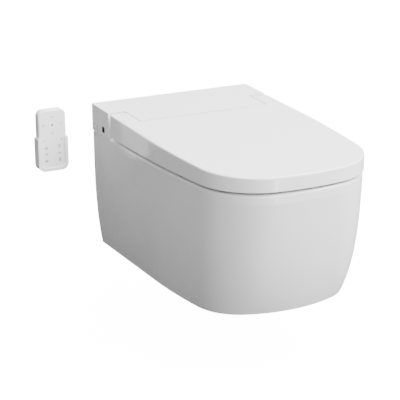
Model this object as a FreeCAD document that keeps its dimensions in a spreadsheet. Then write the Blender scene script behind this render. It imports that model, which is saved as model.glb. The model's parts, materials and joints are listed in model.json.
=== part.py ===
"""Wall-hung toilet with a built-in electric bidet seat, and its handset in a wall holder.

Millimetres. +Z is up, the wall is the plane Y = 0 and the bowl reaches towards -Y. The origin is
midway between the two wall studs, on the wall. Every driving size is a named cell of the sheet
below; each sub-part is one object whose sizes are expressions of those cells.
"""
import FreeCAD, Part
import math
import os
import re
import Sketcher

V = FreeCAD.Vector
Turn = FreeCAD.Rotation
Place = FreeCAD.Placement
X_AXIS, Y_AXIS, Z_AXIS = V(1, 0, 0), V(0, 1, 0), V(0, 0, 1)

SIZES = {
    # overall outline, seen from above: straight sides, a long side arc, a corner arc, a front arc
    "half_width": 190, "reach": 600, "straight": 246,
    "side_radius": 2162, "corner_radius": 124.5, "front_radius": 510,
    # the same outline at the foot of the pan
    "foot_half_width": 173.5, "foot_reach": 543.4, "foot_straight": 275.6,
    "foot_side_radius": 1219.5, "foot_corner_radius": 100.8, "foot_front_radius": 267.8,
    # heights: the rim over the studs, the pan under its rim, the top plane over the rim
    "rim_level": 80, "pan_drop": 262, "rear_rise": 59.25, "front_rise": 33.5,
    # ceramic pan
    "rim_inset": 2, "ceramic_wall": 14, "back_wall": 20, "deck": 20, "rim_round": 6,
    "bowl_centre": 365, "bowl_half_length": 190, "bowl_half_width": 146, "bowl_wall": 12,
    "sump_depth": 185, "bowl_lip_round": 7, "trim": 2,
    "trap_bore": 34, "trap_wall": 8, "waste_drop": 100, "waste_radius": 51, "waste_room": 17,
    "inlet_rise": 35, "inlet_radius": 27.5, "inlet_depth": 50, "inlet_wall": 10, "jet_radius": 18,
    # wall studs
    "stud_spacing": 180, "stud_bore": 6.5, "sleeve_wall": 3, "sleeve_play": 0.1,
    "sleeve_flange": 16, "sleeve_flange_depth": 3,
    # seat unit fixings through the deck
    "fixing_spacing": 155, "fixing_back": 55, "fixing_shank": 4, "fixing_hole": 8,
    "fixing_head": 8, "fixing_head_depth": 4, "fixing_nut": 11, "fixing_nut_depth": 9,
    "fixing_tail": 12,
    # housing of the seat unit
    "housing_depth": 87, "nose_reach": 165, "nose_half": 149.5, "cover_wall": 3,
    "cover_lift": 0.4, "plate_thick": 4, "plate_margin": 10, "nose_margin": 5, "edge_round": 3,
    "post_radius": 3.5, "screw_radius": 1.5, "screw_head": 3, "screw_depth": 15,
    "post_side": 172, "post_side_back": 76, "post_nose": 139, "post_nose_back": 152,
    # lid
    "lid_gap": 5, "lid_wall": 3.5, "arm_gap": 12, "slit": 3, "arm_sweep": 26, "arm_stop": 5,
    "lid_round": 3.2,
    # hinge line, shared by lid and seat
    "hinge_back": 125, "hinge_rise": 30, "pin_radius": 5, "running_fit": 0.05, "pin_inner": 128,
    "pin_outer": 176, "lid_boss": 11, "lid_boss_width": 6, "bracket_x": 134, "bracket_thick": 4,
    "bracket_half": 14, "damper_radius": 11, "damper_length": 32,
    # seat
    "seat_play": 8, "seat_gap": 6.5, "seat_low": 7, "seat_top_rise": 23, "seat_wall": 3, "seat_plate": 4,
    "seat_round": 5, "opening_centre": 340, "opening_half_length": 155, "opening_half": 106,
    "seat_arm_in": 160, "seat_arm_out": 175, "seat_arm_low": 11,
    "seat_arm_high": 19, "heater_thick": 0.8, "heater_margin": 5, "rest_gap": 0.3,
    "buffer_length": 26, "buffer_width": 12, "buffer_side": 148, "buffer_rear": 235,
    "buffer_front": 455, "lid_pad": 6, "lid_pad_side": 128, "lid_pad_rear": 240,
    "lid_pad_front": 520,
    # cleansing nozzle, in a frame tilted about X with its origin at the front of the housing
    "nozzle_tilt": 14, "nozzle_rise": 15, "nozzle_set": 2, "tube_radius": 6.5, "tube_bore": 3,
    "tube_length": 108, "tube_start": 2, "tip_half": 9, "tip_low": 7.5, "tip_high": 9,
    "tip_thick": 3, "spray_radius": 1.2, "rack_half": 3, "rack_root": 7, "rack_tip": 8.8,
    "rack_from": 12, "gear_module": 1, "gear_teeth": 12, "gear_addendum": 0.8,
    "gear_dedendum": 1.2, "tooth_width": 1.0, "tooth_tip": 0.5, "gear_at": 22,
    "gear_shaft": 2, "gear_half": 3, "motor_radius": 9, "motor_from": 10, "motor_length": 28,
    "cradle_play": 0.5, "cradle_wall": 3, "cradle_floor": 2, "cradle_from": 8,
    "cradle_length": 98, "cradle_side": 3, "door_half": 11, "door_high": 26,
    # warm air dryer
    "dryer_x": 72, "dryer_back": 50, "dryer_level": 31, "dryer_radius": 22, "dryer_half": 20,
    "dryer_shell": 2, "duct_half": 14, "duct_low": 8, "duct_high": 24, "impeller_radius": 16,
    "impeller_half": 14, "blade_thick": 1.2, "blade_count": 12, "hub_radius": 5,
    "spindle_radius": 1.5, "flap_thick": 1.8, "flap_play": 0.4,
    # deodoriser
    "fan_x": 126, "fan_back": 40, "fan_level": 28, "fan_radius": 20, "fan_half": 14,
    "rotor_radius": 15, "rotor_half": 9, "rotor_hub": 6, "rotor_blades": 9,
    "filter_from": 152, "filter_near": 22, "filter_far": 60, "filter_low": 12,
    "filter_high": 44, "filter_play": 0.5, "guide_wall": 2, "grip_thick": 2.8,
    "grip_margin": 2,
    # water parts
    "feed_x": 86, "feed_level": 25, "feed_radius": 10.48, "feed_bore": 6, "feed_length": 18,
    "feed_room": 14, "valve_half": 15, "valve_far": 50, "valve_low": 8, "valve_high": 42,
    "pump_x": 48, "pump_back": 32, "pump_level": 20, "pump_radius": 13, "pump_half": 18,
    "tank_in": 24, "tank_out": 100, "tank_near": 65, "tank_far": 104, "tank_low": 5,
    "tank_high": 44, "tank_round": 5, "pipe_radius": 3.5,
    # power parts
    "gland_x": 118, "gland_level": 25, "gland_radius": 8, "gland_bore": 4, "gland_depth": 16,
    "power_in": 100, "power_out": 146, "power_near": 20, "power_far": 104, "power_low": 7,
    "board_thick": 1.6, "control_x": 181, "control_near": 8, "control_far": 80,
    "control_low": 7, "control_high": 46, "light_x": 45, "light_level": 16, "light_radius": 4,
    "light_length": 12,
    # side panel, in the left wall of the housing
    "panel_near": 3.5, "panel_far": 71, "panel_high": 24.5, "panel_play": 0.15,
    "panel_key": 3.6, "panel_key_near": 12, "panel_key_far": 28, "panel_key_low": 5.2,
    "panel_key_high": 15.3, "panel_key_length": 5.5, "lamp_back": 45, "lamp_low": 4.5,
    "lamp_step": 4.8, "lamp_radius": 0.9, "window_back": 60, "window_level": 13.4,
    "window_half": 6.5, "window_round": 2,
    # handset and its wall holder
    "handset_x": 291.5, "handset_low": 10, "handset_width": 62, "handset_height": 131,
    "handset_round": 13, "handset_back": 2.8, "handset_split": 10, "handset_face": 22.2,
    "handset_wall": 1.8, "holder_margin": 3, "holder_wall": 2.5, "holder_top": 80,
    "holder_low": 7, "holder_lip": 2.4, "holder_play": 0.3, "lip_width": 4,
    "holder_screw": 2.1, "holder_screw_low": 28, "holder_screw_high": 58,
    "key_play": 0.2, "key_back": 17.3, "key_proud": 0.2, "board_back": 15.6,
    "board_margin": 4, "hatch_low": 22, "hatch_height": 50, "hatch_half": 22,
    "hatch_thick": 1.4, "hatch_travel": 8, "cell_radius": 5.2, "cell_length": 44.5,
    "cell_spread": 6.5, "cell_back": 9.9, "cell_low": 24,
}

# Handset keys: name, sideways and up from the cluster's centre column and the handset's foot, radius
HANDSET_KEYS = [
    ("up", 0, 116, 5), ("left", -19.5, 99, 5), ("stop", 0, 98, 7.5), ("right", 19.5, 99, 5),
    ("down", 0, 80, 5), ("minus", -20.5, 65, 4.5), ("plus", 20.5, 65, 4.5),
    ("rear_wash", -15, 49.5, 6), ("front_wash", 15, 49.5, 6), ("dryer", -15, 35, 6),
    ("sweep", 15, 35, 6), ("water_heat", -15, 20.5, 6), ("seat_heat", 15, 20.5, 6)]

# Stations down the pan under its deck: share of that height, then the side's and the front's share
# of the change from the rim's outline to the foot's
STATIONS = [(0, 0, 0), (0.25, 0.016, 0.121), (0.5, 0.125, 0.294), (0.75, 0.422, 0.57), (1, 1, 1)]

# The bowl's sections: share of the sump's depth, then of the opening's half length, half width,
# and how far the centre has moved towards the wall as a share of the half length
BOWL = [(0, 1, 1, 0), (0.25, 0.96, 0.96, 0.02), (0.55, 0.77, 0.78, 0.1), (0.82, 0.45, 0.5, 0.27),
        (1, 0.28, 0.3, 0.38)]

# The trap's centre line from the wall inwards: distance from the wall, height over the studs
TRAP = [(0, -100), (-62, -100), (-125, -72), (-216, -136), (-288, -96)]

doc = FreeCAD.newDocument("bidet_seat")
sheet = doc.addObject("Spreadsheet::Sheet", "sizes")
for row, (alias, number) in enumerate(SIZES.items(), 1):
    sheet.set(f"A{row}", alias)
    sheet.set(f"B{row}", str(number))
    sheet.setAlias(f"B{row}", alias)
doc.recompute()

nodes = []


def value(expression):
    """The number that an expression of the sheet's aliases gives."""
    result = sheet.evalExpression(str(expression))
    return float(getattr(result, "Value", result))


def bind(feature, path, expression):
    """Bind one property of a feature to an expression of the sheet's aliases."""
    def cell(word):
        return "sizes." + word.group() if word.group() in SIZES else word.group()
    feature.setExpression(path, re.sub(r"[a-z_][a-z0-9_]*", cell, str(expression)))


def node(label):
    """A new sub-part, kept in the list that is exported."""
    body = doc.addObject("PartDesign::Body", label)
    body.Label = label
    body.AllowCompound = True
    nodes.append(body)
    return body


def nozzle_node(label):
    """A sub-part in the nozzle's tilted frame: local +Y runs back and up along the tube."""
    body = node(label)
    body.Placement = Place(V(), Turn(X_AXIS, value("nozzle_tilt")))
    bind(body, "Placement.Base.y", "nozzle_set - nose_reach")
    bind(body, "Placement.Base.z", "rim_level + nozzle_rise")
    bind(body, "Placement.Rotation.Angle", "nozzle_tilt * 1 deg")
    return body


def block(body, low, high, cut=False):
    """A box from its low to its high corner, added to a body or cut from it."""
    kind = "PartDesign::SubtractiveBox" if cut else "PartDesign::AdditiveBox"
    feature = body.newObject(kind, "block")
    for side, near, far in zip(("Length", "Width", "Height"), low, high):
        bind(feature, side, f"({far}) - ({near})")
    for letter, near in zip("xyz", low):
        bind(feature, "Placement.Base." + letter, near)
    return feature


def rod(body, axis, start, radius, length, cut=False):
    """A cylinder along X, Y or Z from the centre of its first end, added or cut."""
    kind = "PartDesign::SubtractiveCylinder" if cut else "PartDesign::AdditiveCylinder"
    feature = body.newObject(kind, "rod")
    turns = {"x": Turn(Y_AXIS, 90), "y": Turn(X_AXIS, -90), "z": Turn()}
    feature.Placement = Place(V(), turns[axis])
    for letter, near in zip("xyz", start):
        bind(feature, "Placement.Base." + letter, near)
    bind(feature, "Radius", radius)
    bind(feature, "Height", length)
    return feature


def ball(body, centre, radius, cut=False):
    """A sphere, added or cut."""
    kind = "PartDesign::SubtractiveSphere" if cut else "PartDesign::AdditiveSphere"
    feature = body.newObject(kind, "ball")
    for letter, near in zip("xyz", centre):
        bind(feature, "Placement.Base." + letter, near)
    bind(feature, "Radius", radius)
    return feature


def sketch_on(body, role, level="0", tilted=False):
    """A sketch on one of the body's origin planes, moved along its normal by level."""
    plane = next(item for item in body.Origin.OriginFeatures if item.Role == role)
    sketch = body.newObject("Sketcher::SketchObject", "outline")
    sketch.AttachmentSupport = [(plane, "")]
    sketch.MapMode = "FlatFace"
    if tilted:
        tilt = "atan((rear_rise - front_rise) / reach)"
        sketch.AttachmentOffset = Place(V(), Turn(X_AXIS, value(tilt)))
        bind(sketch, "AttachmentOffset.Rotation.Angle", tilt)
    bind(sketch, "AttachmentOffset.Base.z", level)
    return sketch


def hold(sketch, kind, *rest):
    """Add a dimensional constraint whose value is an expression."""
    number = sketch.addConstraint(Sketcher.Constraint(kind, *rest[:-1], value(rest[-1])))
    bind(sketch, f"Constraints[{number}]", rest[-1])


def polygon(sketch, corners):
    """A closed outline through corners that are given as pairs of expressions."""
    points = [V(value(across), value(along), 0) for across, along in corners]
    first = len(sketch.Geometry)
    count = len(points)
    for index in range(count):
        sketch.addGeometry(Part.LineSegment(points[index], points[(index + 1) % count]), False)
    for index, (across, along) in enumerate(corners):
        following = first + (index + 1) % count
        sketch.addConstraint(Sketcher.Constraint("Coincident", first + index, 2, following, 1))
        hold(sketch, "DistanceX", first + index, 1, across)
        hold(sketch, "DistanceY", first + index, 1, along)
    return sketch


def circle(sketch, across, along, radius):
    """A circle whose centre and radius are expressions."""
    centre = V(value(across), value(along), 0)
    index = sketch.addGeometry(Part.Circle(centre, Z_AXIS, value(radius)), False)
    hold(sketch, "Radius", index, radius)
    hold(sketch, "DistanceX", index, 3, across)
    hold(sketch, "DistanceY", index, 3, along)
    return sketch


def oval(sketch, along, half_length, half_width):
    """An ellipse on the centre line, longer towards the front than it is wide."""
    ring = Part.Ellipse(V(0, value(along), 0), value(half_length), value(half_width))
    ring.rotate(Place(V(), Turn(Z_AXIS, 90), V(0, value(along), 0)))
    index = sketch.addGeometry(ring, False)
    sketch.exposeInternalGeometry(index)
    sketch.addConstraint(Sketcher.Constraint("Vertical", index + 1))
    sketch.addConstraint(Sketcher.Constraint("PointOnObject", index, 3, -2))
    hold(sketch, "DistanceY", index, 3, along)
    hold(sketch, "Distance", index + 1, f"2 * ({half_length})")
    hold(sketch, "Distance", index + 2, f"2 * ({half_width})")
    return sketch


def rounded(sketch, low, high, radius):
    """A rectangle with four equal round corners, from its low to its high corner."""
    left, foot = value(low[0]), value(low[1])
    right, head = value(high[0]), value(high[1])
    turn = value(radius)
    sides = [((left + turn, foot), (right - turn, foot)), ((right, foot + turn), (right, head - turn)),
             ((right - turn, head), (left + turn, head)), ((left, head - turn), (left, foot + turn))]
    corners = [(right - turn, foot + turn), (right - turn, head - turn),
               (left + turn, head - turn), (left + turn, foot + turn)]
    first = len(sketch.Geometry)
    for index in range(4):
        sketch.addGeometry(Part.LineSegment(V(*sides[index][0], 0), V(*sides[index][1], 0)), False)
        start = (index - 1) * math.pi / 2
        ring = Part.Circle(V(*corners[index], 0), Z_AXIS, turn)
        sketch.addGeometry(Part.ArcOfCircle(ring, start, start + math.pi / 2), False)
    for index in range(4):
        line, arc = first + 2 * index, first + 2 * index + 1
        following = first + (2 * index + 2) % 8
        sketch.addConstraint(Sketcher.Constraint("Tangent", line, 2, arc, 1))
        sketch.addConstraint(Sketcher.Constraint("Tangent", arc, 2, following, 1))
        level = "Horizontal" if index % 2 == 0 else "Vertical"
        sketch.addConstraint(Sketcher.Constraint(level, line))
        if index:
            sketch.addConstraint(Sketcher.Constraint("Equal", first + 1, arc))
    hold(sketch, "Radius", first + 1, radius)
    hold(sketch, "DistanceY", first, 1, low[1])
    hold(sketch, "DistanceX", first + 2, 1, high[0])
    hold(sketch, "DistanceY", first + 4, 1, high[1])
    hold(sketch, "DistanceX", first + 6, 1, low[0])
    return sketch


def rim_shape(inset="0"):
    """The overall outline's six sizes, all moved inwards by the same amount."""
    return {"half": f"half_width - ({inset})", "reach": f"reach - ({inset})", "straight": "straight",
            "side": f"side_radius - ({inset})", "corner": f"corner_radius - ({inset})",
            "front": f"front_radius - ({inset})"}


def pan_shape(side_share, front_share, inset="0"):
    """The pan's outline part of the way from its rim to its foot."""
    def mix(share, rim, foot, move):
        return f"({rim}) * {1 - share} + {foot} * {share}" + (f" - ({inset})" if move else "")
    return {"half": mix(side_share, "half_width - rim_inset", "foot_half_width", True),
            "reach": mix(front_share, "reach - rim_inset", "foot_reach", True),
            "straight": mix(front_share, "straight", "foot_straight", False),
            "side": mix(front_share, "side_radius", "foot_side_radius", True),
            "corner": mix(front_share, "corner_radius", "foot_corner_radius", True),
            "front": mix(front_share, "front_radius", "foot_front_radius", True)}


def outline(sketch, shape, back):
    """The D-shaped outline: sides, side arcs, corner arcs and front arc, all tangent, closed by
    the corners of back, given from the left side round to the right one."""
    half, reach, straight = value(shape["half"]), value(shape["reach"]), value(shape["straight"])
    side, corner, front = value(shape["side"]), value(shape["corner"]), value(shape["front"])
    side_centre, front_centre = V(half - side, -straight, 0), V(0, front - reach, 0)
    span = (front_centre - side_centre).Length
    along = ((side - corner) ** 2 - (front - corner) ** 2 + span ** 2) / (2 * span)
    across = math.sqrt((side - corner) ** 2 - along ** 2)
    forward = (front_centre - side_centre).normalize()
    corner_centre = side_centre + forward * along + V(forward.y, -forward.x, 0) * across
    to_side, to_front = corner_centre - side_centre, corner_centre - front_centre
    side_end = math.atan2(to_side.y, to_side.x)
    corner_end = math.atan2(to_front.y, to_front.x)

    def arc(centre, radius, start, end, mirrored=False):
        if mirrored:
            centre, start, end = V(-centre.x, centre.y, 0), math.pi - end, math.pi - start
        return Part.ArcOfCircle(Part.Circle(centre, Z_AXIS, radius), start, end)

    points = [V(value(item[0]), value(item[1]), 0) for item in back]
    edges = [Part.LineSegment(points[-1], V(half, -straight, 0)),
             arc(side_centre, side, side_end, 0), arc(corner_centre, corner, corner_end, side_end),
             arc(front_centre, front, -math.pi - corner_end, corner_end),
             arc(corner_centre, corner, corner_end, side_end, True),
             arc(side_centre, side, side_end, 0, True),
             Part.LineSegment(V(-half, -straight, 0), points[0])]
    edges += [Part.LineSegment(start, end) for start, end in zip(points[:-1], points[1:])]
    sketch.addGeometry(edges, False)
    joins = [("Tangent", 0, 2, 1, 2), ("Tangent", 1, 1, 2, 2), ("Tangent", 2, 1, 3, 2),
             ("Tangent", 3, 1, 4, 2), ("Tangent", 4, 1, 5, 2), ("Tangent", 5, 1, 6, 1),
             ("Vertical", 0), ("Vertical", 6), ("Equal", 1, 5), ("Equal", 2, 4),
             ("PointOnObject", 3, 3, -2)]
    sketch.addConstraint([Sketcher.Constraint(*join) for join in joins])
    hold(sketch, "DistanceX", 0, 1, shape["half"])
    hold(sketch, "DistanceX", 6, 1, f"-({shape['half']})")
    hold(sketch, "DistanceY", 0, 2, f"-({shape['straight']})")
    hold(sketch, "DistanceY", 6, 1, f"-({shape['straight']})")
    hold(sketch, "Radius", 1, shape["side"])
    hold(sketch, "Radius", 2, shape["corner"])
    hold(sketch, "Radius", 3, shape["front"])
    hold(sketch, "DistanceY", 3, 3, f"({shape['front']}) - ({shape['reach']})")
    hold(sketch, "DistanceY", 6, 2, back[0][1])
    hold(sketch, "DistanceY", 0, 1, back[-1][1])
    for index in range(len(points) - 1):
        line = 7 + index
        sketch.addConstraint(Sketcher.Constraint("Coincident", line - 1, 2, line, 1))
        if index < len(points) - 2:
            hold(sketch, "DistanceX", line, 2, back[index + 1][0])
            hold(sketch, "DistanceY", line, 2, back[index + 1][1])
    sketch.addConstraint(Sketcher.Constraint("Coincident", 5 + len(points), 2, 0, 1))
    return sketch


def straight_back(shape, level):
    """A straight back edge between the two sides."""
    return [(f"-({shape['half']})", level), (shape["half"], level)]


def pad(body, sketch, length, down=False, cut=False):
    """Extrude a sketch along its normal, or straight down; a cut goes the same way."""
    feature = body.newObject("PartDesign::Pocket" if cut else "PartDesign::Pad", "extrusion")
    feature.Profile = sketch
    bind(feature, "Length", length)
    if down:
        feature.UseCustomVector = True
        feature.Direction = V(0, 0, -1)
    elif cut:
        feature.Reversed = True
    return feature


def loft(body, sketches, cut=False):
    """A smooth skin through the sketches, as a solid or as a cut."""
    kind = "PartDesign::SubtractiveLoft" if cut else "PartDesign::AdditiveLoft"
    feature = body.newObject(kind, "skin")
    feature.Profile = sketches[0]
    feature.Sections = sketches[1:]
    return feature


def pipe(body, profile, spine, cut=False):
    """Carry a profile along a spine, as a solid or as a cut."""
    kind = "PartDesign::SubtractivePipe" if cut else "PartDesign::AdditivePipe"
    feature = body.newObject(kind, "tube")
    feature.Profile = profile
    feature.Spine = spine
    return feature


def round_edges(body, radius, wanted):
    """Fillet the edges of the body that the test picks."""
    doc.recompute()
    base = body.Tip
    names = [f"Edge{index}" for index, edge in enumerate(base.Shape.Edges, 1) if wanted(edge)]
    feature = body.newObject("PartDesign::Fillet", "rounding")
    feature.Base = (base, names)
    bind(feature, "Radius", radius)
    return feature


def spots(edge):
    """The start, middle and end of an edge."""
    length = edge.LastParameter - edge.FirstParameter
    return [edge.valueAt(edge.FirstParameter + length * share) for share in (0, 0.5, 1)]


def level_edge(edge, level):
    """Whether an edge lies flat at a height."""
    return all(abs(spot.z - level) < 0.01 for spot in spots(edge))


def trim_above_top(body):
    """Cut away what stands over the sloping top plane that the housing and the lid share."""
    sketch = polygon(sketch_on(body, "XY_Plane", "rim_level + rear_rise", tilted=True),
                     [("-half_width * 1.1", "10"), ("half_width * 1.1", "10"),
                      ("half_width * 1.1", "-reach * 1.1"), ("-half_width * 1.1", "-reach * 1.1")])
    pad(body, sketch, "rear_rise * 2", cut=True)


# ---- ceramic pan -------------------------------------------------------------------------------

def trap_spine(body):
    """The trap's centre line as runs and tangent arcs in the plane X = 0."""
    sketch = sketch_on(body, "YZ_Plane")
    points = [V(along, up, 0) for along, up in TRAP]
    joins = []
    start, start_end = points[0], None
    for before, point, after in zip(points[:-2], points[1:-1], points[2:]):
        back, ahead = before - point, after - point
        half_turn = (math.pi - back.getAngle(ahead)) / 2
        cut_back = 0.45 * min(back.Length, ahead.Length)
        radius = cut_back / math.tan(half_turn)
        near = point + back.normalize() * cut_back
        far = point + ahead.normalize() * cut_back
        centre = point + (back + ahead).normalize() * math.hypot(cut_back, radius)
        left_turn = back.cross(ahead).z < 0
        first, last = (near, far) if left_turn else (far, near)
        angles = [math.atan2(end.y - centre.y, end.x - centre.x) for end in (first, last)]
        line = sketch.addGeometry(Part.LineSegment(start, near), False)
        ring = Part.Circle(centre, Z_AXIS, radius)
        arc = sketch.addGeometry(Part.ArcOfCircle(ring, angles[0], angles[1]), False)
        if start_end:
            joins.append((*start_end, line, 1))
        joins.append((line, 2, arc, 1 if left_turn else 2))
        start, start_end = far, (arc, 2 if left_turn else 1)
    line = sketch.addGeometry(Part.LineSegment(start, points[-1]), False)
    joins.append((*start_end, line, 1))
    for join in joins:
        sketch.addConstraint(Sketcher.Constraint("Coincident", *join))
    return sketch


def bowl_sections(body, grow, top, floor):
    """Ovals from the bowl's opening down to its sump, all grown by the same wall."""
    ovals = []
    for depth, length, width, shift in BOWL:
        level = f"({top}) * {1 - depth} + ({floor}) * {depth}"
        sketch = sketch_on(body, "XY_Plane", level)
        centre = f"bowl_half_length * {shift} - bowl_centre"
        ovals.append(oval(sketch, centre, f"bowl_half_length * {length} + ({grow})",
                          f"bowl_half_width * {width} + ({grow})"))
    return ovals


def make_pan():
    """Hollow skirt, back wall, deck, bowl, trap, flush inlet and the holes for the fixings."""
    body = node("pan")
    rim_band = pan_shape(0, 0)
    band = sketch_on(body, "XY_Plane", "rim_level - deck")
    pad(body, outline(band, rim_band, straight_back(rim_band, "0")), "deck")
    rim = value("rim_level")
    round_edges(body, "rim_round", lambda edge: level_edge(edge, rim) and spots(edge)[1].y < -1)
    for wall, back, cut in (("0", "trim", False), ("ceramic_wall", "-back_wall", True)):
        skins = []
        for depth, side_share, front_share in STATIONS:
            shape = pan_shape(side_share, front_share, wall)
            level = f"rim_level - deck - (pan_drop - deck) * {depth}"
            sketch = sketch_on(body, "XY_Plane", level)
            skins.append(outline(sketch, shape, straight_back(shape, back)))
        loft(body, skins, cut)
    block(body, ("-half_width", "0", "rim_level - pan_drop - 1"), ("half_width", "trim + 1", "rim_level"),
          cut=True)
    rod(body, "y", ("0", "-back_wall", "-waste_drop"), "waste_radius + waste_room", "back_wall", cut=True)
    loft(body, bowl_sections(body, "bowl_wall", "rim_level - deck / 2",
                             "rim_level - sump_depth - bowl_wall"))
    spine = trap_spine(body)
    end = TRAP[-1]
    spigot = circle(sketch_on(body, "XZ_Plane"), "0", "-waste_drop", "trap_bore + trap_wall")
    pipe(body, spigot, spine)
    ball(body, ("0", end[0], end[1]), "trap_bore + trap_wall")
    rod(body, "y", ("0", "-back_wall * 2", "-waste_drop"), "waste_radius", "back_wall * 2 - 1")
    rod(body, "y", ("0", "-bowl_centre + bowl_half_length * 0.9", "inlet_rise"),
        "inlet_radius + inlet_wall", "bowl_centre - bowl_half_length * 0.9")
    loft(body, bowl_sections(body, "0", "rim_level", "rim_level - sump_depth"), cut=True)
    bore = circle(sketch_on(body, "XZ_Plane"), "0", "-waste_drop", "trap_bore")
    pipe(body, bore, trap_spine(body), cut=True)
    ball(body, ("0", end[0], end[1]), "trap_bore", cut=True)
    rod(body, "y", ("0", "-inlet_depth", "inlet_rise"), "inlet_radius", "inlet_depth", cut=True)
    rod(body, "y", ("0", "-bowl_centre + bowl_half_length * 0.8", "inlet_rise"), "jet_radius",
        "bowl_centre - bowl_half_length * 0.8", cut=True)
    for side in (-1, 1):
        rod(body, "y", (f"{side} * stud_spacing / 2", "-back_wall", "0"),
            "stud_bore + sleeve_wall + sleeve_play", "back_wall", cut=True)
        rod(body, "z", (f"{side} * fixing_spacing / 2", "-fixing_back", "rim_level - deck"),
            "fixing_hole", "deck", cut=True)
    centre = value("bowl_centre")
    back_reach = centre - value("bowl_half_length") - 1
    round_edges(body, "bowl_lip_round", lambda edge: level_edge(edge, rim)
                and all(abs(spot.x) < value("bowl_half_width") + 1 and spot.y < -back_reach
                        and spot.y > -2 * centre + back_reach for spot in spots(edge)))


def make_stud_sleeves():
    """Plastic sleeves that line the stud holes and carry the nuts on their flanges."""
    body = node("stud_sleeves")
    for side in (-1, 1):
        across = f"{side} * stud_spacing / 2"
        rod(body, "y", (across, "-back_wall", "0"), "stud_bore + sleeve_wall", "back_wall")
        rod(body, "y", (across, "-back_wall - sleeve_flange_depth", "0"), "sleeve_flange",
            "sleeve_flange_depth")
        rod(body, "y", (across, "-back_wall - sleeve_flange_depth", "0"), "stud_bore",
            "back_wall + sleeve_flange_depth", cut=True)


# ---- housing of the seat unit ------------------------------------------------------------------

def housing_outline(sketch, wall):
    """The housing from above: two side blocks and the nose between the lid's arms."""
    side, nose = f"half_width - ({wall})", f"nose_half - ({wall})"
    front, tip, back = f"({wall}) - housing_depth", f"({wall}) - nose_reach", f"-({wall})"
    corners = [(side, back), (side, front), (nose, front), (nose, tip)]
    mirrored = [(f"-({across})", along) for across, along in reversed(corners)]
    return polygon(sketch, corners + mirrored)


def make_plate():
    """Steel plate under the unit, clamped to the ceramic deck."""
    body = node("base_plate")
    level, top = "rim_level", "rim_level + plate_thick"
    block(body, ("plate_margin - half_width", "4 - housing_depth", level),
          ("half_width - plate_margin", "-4", top))
    block(body, ("nose_margin - nose_half", "nose_margin + 1 - nose_reach", level),
          ("nose_half - nose_margin", "4 - housing_depth", top))
    for across, along in fixing_points():
        rod(body, "z", (across, along, level), "fixing_shank + 0.2", "plate_thick", cut=True)
    for across, along in post_points():
        rod(body, "z", (across, along, level), "screw_radius + 0.2", "plate_thick", cut=True)
        rod(body, "z", (across, along, level), "screw_head + 0.2", "plate_thick / 2", cut=True)


def fixing_points():
    """Where the unit is bolted down."""
    return [(f"{side} * fixing_spacing / 2", "-fixing_back") for side in (-1, 1)]


def post_points():
    """Where the cover is screwed to the plate."""
    return [(f"{side} * {across}", f"-{along}") for side in (-1, 1)
            for across, along in (("post_side", "post_side_back"), ("post_nose", "post_nose_back"))]


def make_fixing_bolts():
    """Two bolts through plate and deck, each with its clamping nut under the deck."""
    body = node("fixing_bolts")
    for across, along in fixing_points():
        rod(body, "z", (across, along, "rim_level - deck - fixing_tail"), "fixing_shank",
            "deck + fixing_tail + plate_thick")
        rod(body, "z", (across, along, "rim_level + plate_thick"), "fixing_head", "fixing_head_depth")
        rod(body, "z", (across, along, "rim_level - deck - fixing_nut_depth"), "fixing_nut",
            "fixing_nut_depth")


def make_cover():
    """Moulded cover of the housing, open below, with its screw posts and every opening."""
    body = node("rear_cover")
    foot = "rim_level + cover_lift"
    pad(body, housing_outline(sketch_on(body, "XY_Plane", foot), "0"), "rear_rise + 20")
    trim_above_top(body)
    wall = value("half_width")
    front = value("housing_depth")

    def soft(edge):
        return all(abs(abs(spot.x) - wall) < 0.1 and abs(spot.y + front) < 0.1 for spot in spots(edge))
    round_edges(body, "edge_round / 2", soft)
    inner = housing_outline(sketch_on(body, "XY_Plane", "rim_level + rear_rise - cover_wall", True),
                            "cover_wall")
    pad(body, inner, "rear_rise + 20", down=True, cut=True)
    for across, along in post_points():
        rod(body, "z", (across, along, "rim_level + plate_thick + cover_lift"), "post_radius",
            f"rear_rise - plate_thick - cover_wall + ({along}) * (rear_rise - front_rise) / reach")
        rod(body, "z", (across, along, "rim_level + plate_thick + cover_lift"), "screw_radius",
            "screw_depth", cut=True)
    # side panel on the left, filter door on the right
    block(body, ("-half_width - 1", "-panel_far", foot),
          ("cover_wall - half_width", "-panel_near", "rim_level + panel_high"), cut=True)
    block(body, ("half_width - cover_wall", "-filter_far - grip_margin", "rim_level + filter_low - grip_margin"),
          ("half_width + 1", "grip_margin - filter_near", "rim_level + filter_high + grip_margin"), cut=True)
    # water inlet and mains gland through the back
    block(body, ("feed_x - feed_room", "-cover_wall", "rim_level"),
          ("feed_x + feed_room", "1", "rim_level + feed_level + feed_room"), cut=True)
    rod(body, "y", ("-gland_x", "-cover_wall", "rim_level + gland_level"), "gland_radius",
        "cover_wall + 1", cut=True)
    # nozzle door, dryer outlet and night light in the front of the nose
    block(body, ("-door_half", "-nose_reach - 1", "rim_level"),
          ("door_half", "cover_wall + 1 - nose_reach", "rim_level + door_high"), cut=True)
    block(body, ("-dryer_x - duct_half - flap_play", "-nose_reach - 1", "rim_level + duct_low - flap_play"),
          ("-dryer_x + duct_half + flap_play", "cover_wall + 1 - nose_reach",
           "rim_level + duct_high + flap_play"), cut=True)
    rod(body, "y", ("light_x", "-nose_reach - 1", "rim_level + light_level"), "light_radius",
        "cover_wall + 2", cut=True)
    rod(body, "x", ("-nose_half", "-hinge_back", "rim_level + hinge_rise"), "pin_radius + 0.3",
        "nose_half * 2", cut=True)


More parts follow.
